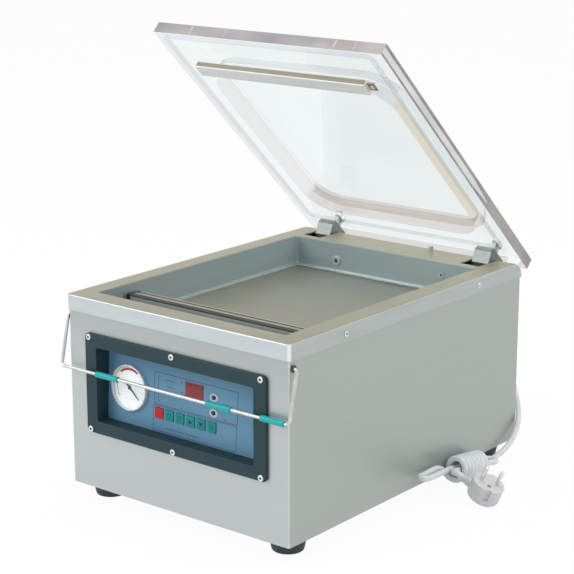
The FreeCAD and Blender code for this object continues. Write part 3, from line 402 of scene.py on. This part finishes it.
def hank_route():
    """Control points of the wraps, the front loop, the rear loop inside the wraps and the tail to the plug. The
    last wrap stops short of its end and runs into the front loop."""
    length = WRAP_TURNS * WRAP_PITCH
    points = [in_hank(-6.0, -13.2, -11.0), in_hank(-1.6, -13.3, -7.5)]
    reach = WRAP_R / CURVE_SHARE
    for number in range(WRAP_TURNS * WRAP_POINTS - 1):
        angle = math.pi - number * 2 * math.pi / WRAP_POINTS
        along = number * WRAP_PITCH / WRAP_POINTS
        points.append(in_hank(along, reach * math.cos(angle), reach * math.sin(angle)))
    front = ((0.3, -10.6, -8.0), (3.6, -12.6, -4.0), (9.0, -12.8, -0.6), (17.0, -12.2, 1.6), (26.0, -11.3, 2.2),
             (36.0, -10.4, 1.4), (46.0, -9.6, 0.2), (52.3, -9.4, -0.6), (55.1, -9.4, -0.8), (57.9, -9.4, -1.0),
             (60.3, -8.0, -1.2), (61.7, -5.6, -1.3), (61.7, -2.8, -1.4), (60.3, -0.4, -1.5), (57.9, 1.0, -1.6),
             (55.1, 1.0, -1.6), (52.3, 1.0, -1.6), (42.0, -0.2, -1.4), (30.0, -1.9, -1.0), (18.0, -3.4, -0.5),
             (7.0, -4.3, -0.1))
    points += [in_hank(length + s, p, q) for s, p, q in front]
    core = ((44.0, -4.4, 0.0), (28.0, -4.4, 0.0), (12.0, -4.5, 0.0), (-4.0, -5.2, 0.0), (-15.0, -6.3, 0.0),
            (-22.0, -6.9, 0.0), (-26.5, -6.6, 0.0), (-30.1, -4.6, 0.0), (-32.1, -1.0, 0.0), (-32.1, 3.0, 0.0),
            (-30.1, 6.6, 0.0), (-26.5, 8.6, 0.0), (-22.0, 8.9, 0.0), (-14.0, 7.8, 0.0), (-4.0, 5.6, 0.0),
            (6.0, 4.5, 0.0), (24.0, 4.4, 0.0), (42.0, 4.4, 0.0))
    points += [in_hank(s, p, q) for s, p, q in core]
    tail = ((3.0, 4.4, 0.0), (8.5, 4.8, 0.1), (11.6, 8.0, 0.2), (12.0, 13.0, 0.2), (11.8, 17.6, -1.8),
            (11.63, 20.79, -3.22))
    points += [in_hank(length + s, p, q) for s, p, q in tail]
    return points


def round_curve(name, kind, points, radius, roundness):
    """Round bar along a spline with these points."""
    curve = bpy.data.curves.new(name, "CURVE")
    curve.dimensions = "3D"
    spline = curve.splines.new(kind)
    spline.points.add(len(points) - 1)
    for held, point in zip(spline.points, points):
        held.co = (*point, 1.0)
    curve.bevel_depth = radius
    curve.bevel_resolution = roundness
    curve.use_fill_caps = True
    return curve, spline


def nurbs(name, points, radius, material):
    """Round smooth cord through a spline with these control points."""
    curve, spline = round_curve(name, "NURBS", points, radius, 5)
    spline.order_u = 3
    spline.use_endpoint_u = True
    spline.resolution_u = 6
    curve.materials.append(material)
    piece = bpy.data.objects.new(name, curve)
    scene.collection.objects.link(piece)
    return piece


mains_cord = nurbs("mains_cord", [row(*point) for point in LEAD] + hank_route(), CORD_R, CORD)
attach(mains_cord, "cabinet")
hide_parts("cord_lead", "cord_hank")


# Thin printed and welded details

def keep(piece, material, body):
    """Put a piece into the scene, on its body."""
    piece.data.materials.append(material)
    scene.collection.objects.link(piece)
    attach(piece, body)


def mesh_piece(name, points, faces, material, body):
    mesh = bpy.data.meshes.new(name)
    mesh.from_pydata([tuple(point) for point in points], [], faces)
    keep(bpy.data.objects.new(name, mesh), material, body)


def bands(name, shapes, place, material, body):
    """Flat printed shapes: each is a list of (inner, outer) point pairs joined into a strip."""
    points = []
    faces = []
    for shape in shapes:
        first = len(points)
        for inner, outer in shape:
            points += [place(*inner), place(*outer)]
        for number in range(len(shape) - 1):
            at = first + 2 * number
            faces.append((at, at + 2, at + 3, at + 1))
    mesh_piece(name, points, faces, material, body)


def arc(radius0, radius1, start, end, centre=(0.0, 0.0), squash=1.0, steps=40):
    """Strip of an annulus between two angles in degrees."""
    pairs = []
    for number in range(steps + 1):
        angle = math.radians(start + (end - start) * number / steps)
        c = math.cos(angle)
        s = math.sin(angle) * squash
        pairs.append(((centre[0] + radius0 * c, centre[1] + radius0 * s),
                      (centre[0] + radius1 * c, centre[1] + radius1 * s)))
    return pairs


def line(x0, v0, x1, v1, width):
    """Straight printed line."""
    along = Vector((x1 - x0, v1 - v0)).normalized() * (width / 2)
    side = Vector((-along.y, along.x))
    a = Vector((x0, v0))
    b = Vector((x1, v1))
    return [(tuple(a - side), tuple(a + side)), (tuple(b - side), tuple(b + side))]


def outline(x0, x1, v0, v1, radius, width):
    """Rectangle with rounded corners, as one closed strip."""
    pairs = []
    for cx, cv, start in ((x1 - radius, v1 - radius, 0), (x0 + radius, v1 - radius, 90),
                          (x0 + radius, v0 + radius, 180), (x1 - radius, v0 + radius, 270)):
        pairs += arc(radius - width / 2, radius + width / 2, start, start + 90, (cx, cv), steps=6)
    return pairs + pairs[:1]


def panel_print(x, v):
    return on_panel(x, PANEL_PRINT, v)


def print_panel():
    """Frames, marks, plain dashes in place of words, and the lamps' rings."""
    boxes = [outline(-45.5, 78.5, -12.0, 25.5, 1.5, 0.55), outline(-46.5, 77.5, -43.0, -13.6, 1.5, 0.55)]
    boxes += [line(-39.0, 21.0, -39.5, -8.0, 0.5), line(-39.0, 21.0, -36.0, 21.0, 0.5),
              line(-39.5, -8.0, -36.5, -8.0, 0.5)]
    boxes += [arc(0.0, 0.9, 0, 360, (x, v), steps=16) for x, v in ((-4.0, 20.0), (-4.0, 9.0), (-4.0, -9.5))]
    bands("panel_lines", boxes, panel_print, INK, "cabinet")
    dashes = ((-29.0, -14.0, 18.4), (-28.0, -16.0, 10.9), (57.5, 66.0, 7.8), (57.5, 64.0, -9.4),
              (-26.0, -13.0, -38.2), (-11.0, 1.0, -38.2), (3.0, 22.0, -38.2))
    bands("panel_dashes", [line(x0, v, x1, v, 0.9) for x0, x1, v in dashes], panel_print, INK_MID, "cabinet")
    rings = [arc(3.2, 6.0, 0, 360, (43.5, v), 0.78) for v in (12.4, -5.3)]
    bands("lamp_rings", rings, panel_print, INK_PALE, "cabinet")


print_panel()


def print_dial():
    """Ticks over the needle's sweep, two dashes, the rim's line and the coloured arcs."""
    divisions = 50
    first = -40.0
    sweep = 260.0
    outer = 19.0

    def dial(u, v):
        return on_panel(GAUGE_X + u, DIAL_PRINT, GAUGE_V + v)

    ticks = []
    for number in range(divisions + 1):
        angle = math.radians(first + sweep * number / divisions)
        inner, width = (16.6, 0.42) if number % 5 == 0 else (18.0, 0.22)
        c = math.cos(angle)
        s = math.sin(angle)
        ticks.append(line(inner * c, inner * s, outer * c, outer * s, width))
    ticks += [line(-7.2, -13.6, -4.4, -13.6, 0.8), line(2.8, -13.2, 5.6, -13.2, 0.8), arc(23.9, 24.1, 0, 360)]
    bands("dial_ticks", ticks, dial, INK_PALE, "cabinet")
    bands("dial_red", [arc(20.3, 22.9, 58, 132)], dial, INK_RED, "cabinet")
    bands("dial_yellow", [arc(19.6, 22.9, 132, 154)], dial, INK_YELLOW, "cabinet")
    bands("dial_green", [arc(19.4, 20.2, 162, 218)], dial, INK_GREEN, "cabinet")


print_dial()


def key_symbols():
    """Plain marks on the teal keys, counted from the red key at the left."""
    def symbol(name, number, shapes):
        x = KEY_X + number * KEY_PITCH

        def on_key(u, v):
            return on_panel(x + u, KEY_PRINT, KEY_V + v)

        bands(name + "_symbol", shapes, on_key, INK, name)

    def arrow(base, tip):
        return [((-3.2, base), (-3.2, base)), ((0.0, base), (0.0, tip)), ((3.2, base), (3.2, base))]

    symbol("mode_key", 1, [outline(-2.6, 2.6, -2.6, 2.6, 0.6, 0.7)])
    symbol("set_key", 2, [line(-3.2, v, 3.2, v, 0.8) for v in (-2.6, 0.0, 2.6)])
    symbol("raise_key", 3, [arrow(-2.2, 2.8)])
    symbol("lower_key", 4, [arrow(2.2, -2.8)])
    symbol("heat_key", 5, [arc(1.7, 2.5, 120, 420), line(0.0, 0.8, 0.0, 3.2, 0.8)])


key_symbols()


def tube_piece(name, points, radius, material, body, closed=False):
    """Thin rigid bead along straight runs."""
    curve, spline = round_curve(name, "POLY", points, radius, 3)
    spline.use_cyclic_u = closed
    bead = bpy.data.objects.new(name + "_line", curve)
    keep(bpy.data.objects.new(name, bpy.data.meshes.new_from_object(bead)), material, body)


def weld_seams():
    """Weld beads round the chamber's floor and up its four corners."""
    floor_z = 209.9
    low = 212.0
    high = 246.0

    def corners(half, front, rear):
        return (-half, front), (half, front), (half, rear), (-half, rear)

    floor = [row(x, y, floor_z) for x, y in corners(138.1, -203.1, 164.1)]
    tube_piece("floor_seam", floor, SEAM_R, SEAM, "cabinet", True)
    for number, (x, y) in enumerate(corners(139.1, -204.1, 165.1)):
        tube_piece(f"corner_seam_{number}", [row(x, y, low), row(x, y, high)], SEAM_R, SEAM, "cabinet")


weld_seams()


def screw_recesses():
    """Dark hexagons at the bottom of the screw heads' recesses: painted shade that stands for the sockets."""
    bezel_y = -233.52
    band_x = 165.88
    points = []
    faces = []

    def socket_hole(centre, across, radius):
        first = len(points)
        for number in range(6):
            angle = number * math.pi / 3
            points.append(centre + (across * math.cos(angle) + Vector(UP) * math.sin(angle)) * radius / 1000)
        faces.append(tuple(range(first, first + 6)))

    for x in (-128.0, 0.0, 128.0):
        for z in (92.0, 203.0):
            socket_hole(row(x, bezel_y, z), Vector(RIGHT), 1.6)
    for side in (-1, 1):
        for y in (-132.0, 132.0):
            socket_hole(row(side * band_x, y, 237.5), Vector((0.0, side, 0.0)), 1.4)
    mesh_piece("screw_recesses", points, faces, INK_BLACK, "cabinet")


screw_recesses()


def lid_edges():
    """Saw-cut edges of the lid. The front and the lower right are frosted grey. The upper right has a painted
    reflection, a pale core between two dark lines. A few painted glints, highlights, cross the front."""
    half = 165.55
    front = -215.05
    rear = 219.05
    low = LID_UNDER + 0.4
    high = LID_TOP - 0.4
    core_low = low + 2.6
    core_high = high - 4.2
    turn = 40.0
    tip = 84.0

    def strips(name, runs, material):
        """Strips between two places of the edge, each with its lower and upper level there."""
        points = []
        faces = []
        for (x0, y0, low0, high0), (x1, y1, low1, high1) in runs:
            first = len(points)
            points += [on_lid(x0, y0, low0), on_lid(x1, y1, low1), on_lid(x1, y1, high1), on_lid(x0, y0, high0)]
            faces.append((first, first + 1, first + 2, first + 3))
        mesh_piece(name, points, faces, material, "lid")

    strips("lid_edge_cut", [((-half, front, low, high), (half, front, low, high)),
                            ((half, tip, low, high), (half, rear, low, high))], EDGE)
    middle = (core_low + core_high) / 2
    strips("lid_edge_core", [((half, front, core_low, core_high), (half, turn, core_low, core_high)),
                             ((half, turn, core_low, core_high), (half, tip, middle, middle + 0.1))], EDGE_REFLECTION_CORE)
    strips("lid_edge_lines", [((half, front, low, core_low), (half, turn, low, core_low)),
                              ((half, turn, low, core_low), (half, tip, low, middle)),
                              ((half, front, core_high, high), (half, turn, core_high, high)),
                              ((half, turn, core_high, high), (half, tip, middle + 0.1, high))], EDGE_REFLECTION_LINE)
    # painted glints: highlights across the front edge
    glints = []
    for x, width in ((-112.0, 2.4), (-60.0, 1.4), (98.0, 2.6), (126.0, 1.2)):
        glints.append(((x, front - 0.05, low + 2.5, high - 2.0),
                       (x + width, front - 0.05, low + 2.0, high - 1.5)))
    strips("lid_edge_glints", glints, EDGE_GLINT)


lid_edges()


def bail_bushes():
    """Dark bushes where the wire enters the sides."""
    side_x = 165.4
    ring_r = 3.3
    sides = 18
    for side in (-1, 1):
        ring = []
        for number in range(sides):
            angle = number * 2 * math.pi / sides
            ring.append(row(side * side_x, BAIL_Y + ring_r * math.cos(angle),
                            BAIL_Z + ring_r * math.sin(angle)))
        tube_piece(f"bail_bush_{side}", ring, BUSH_R, DARK, "cabinet", True)


bail_bushes()


# Floor, world and lights

def seen_rays(tree):
    """1 for rays that show the backdrop: straight to the camera, through glass or off a gloss."""
    path = tree.nodes.new("ShaderNodeLightPath")
    seen = path.outputs["Is Camera Ray"]
    for kind in ("Is Transmission Ray", "Is Glossy Ray"):
        more = tree.nodes.new("ShaderNodeMath")
        more.operation = "MAXIMUM"
        tree.links.new(seen, more.inputs[0])
        tree.links.new(path.outputs[kind], more.inputs[1])
        seen = more.outputs["Value"]
    return seen


def add_floor():
    """Pale floor that shows as white and keeps the part's shadow."""
    size = 6.0
    white_share = 0.95
    mesh = bpy.data.meshes.new("floor")
    corners = [(-size, -size, 0), (size, -size, 0), (size, size, 0), (-size, size, 0)]
    mesh.from_pydata(corners, [], [(0, 1, 2, 3)])
    floor = bpy.data.objects.new("floor", mesh)
    scene.collection.objects.link(floor)
    floor.location.z = -0.0004
    material, tree, shader = new_material("floor_white")
    socket(shader, "Base Color", (0.86, 0.86, 0.86, 1.0))
    socket(shader, "Roughness", 0.9)
    socket(shader, "Specular IOR Level", 0.1)
    glow = tree.nodes.new("ShaderNodeEmission")
    part = tree.nodes.new("ShaderNodeMath")
    part.operation = "MULTIPLY"
    part.inputs[1].default_value = white_share
    tree.links.new(seen_rays(tree), part.inputs[0])
    mix = tree.nodes.new("ShaderNodeMixShader")
    tree.links.new(part.outputs["Value"], mix.inputs["Fac"])
    tree.links.new(shader.outputs["BSDF"], mix.inputs[1])
    tree.links.new(glow.outputs["Emission"], mix.inputs[2])
    tree.links.new(mix.outputs["Shader"], tree.nodes["Material Output"].inputs["Surface"])
    mesh.materials.append(material)


add_floor()


def add_world():
    """White backdrop, and a room that lights the part, cool at the level and warm overhead."""
    world = bpy.data.worlds.new("studio")
    scene.world = world
    world.use_nodes = True
    tree = world.node_tree
    backdrop = tree.nodes["Background"]
    socket(backdrop, "Color", (1.0, 1.0, 1.0, 1.0))
    socket(backdrop, "Strength", 1.0)
    room = tree.nodes.new("ShaderNodeBackground")
    socket(room, "Strength", 0.62)
    way = tree.nodes.new("ShaderNodeTexCoord")
    split = tree.nodes.new("ShaderNodeSeparateXYZ")
    tree.links.new(way.outputs["Generated"], split.inputs["Vector"])
    sky = ramp(tree, split.outputs["Z"], (0.0, 0.85), (0.86, 0.92, 0.95), (1.0, 0.93, 0.82))
    tree.links.new(sky, room.inputs["Color"])
    mix = tree.nodes.new("ShaderNodeMixShader")
    tree.links.new(seen_rays(tree), mix.inputs["Fac"])
    tree.links.new(room.outputs["Background"], mix.inputs[1])
    tree.links.new(backdrop.outputs["Background"], mix.inputs[2])
    tree.links.new(mix.outputs["Shader"], tree.nodes["World Output"].inputs["Surface"])


add_world()


def add_light(name, place, size, watts, colour):
    """Square soft light aimed at the part's middle."""
    data = bpy.data.lights.new(name, "AREA")
    data.shape = "SQUARE"
    data.size = size
    data.energy = watts
    data.color = colour
    light = bpy.data.objects.new(name, data)
    scene.collection.objects.link(light)
    light.location = place
    light.rotation_euler = aimed(Vector((0.0, 0.0, 0.2)) - light.location)


add_light("key", Vector((-1.6, -2.2, 1.7)), 1.6, 34.0, (1.0, 0.99, 0.97))
add_light("overhead", Vector((0.2, 0.3, 2.6)), 2.0, 26.0, (1.0, 0.94, 0.84))
add_light("side", Vector((2.4, 0.2, 1.1)), 1.4, 9.0, (0.94, 1.0, 0.98))
scene.view_settings.view_transform = "Standard"
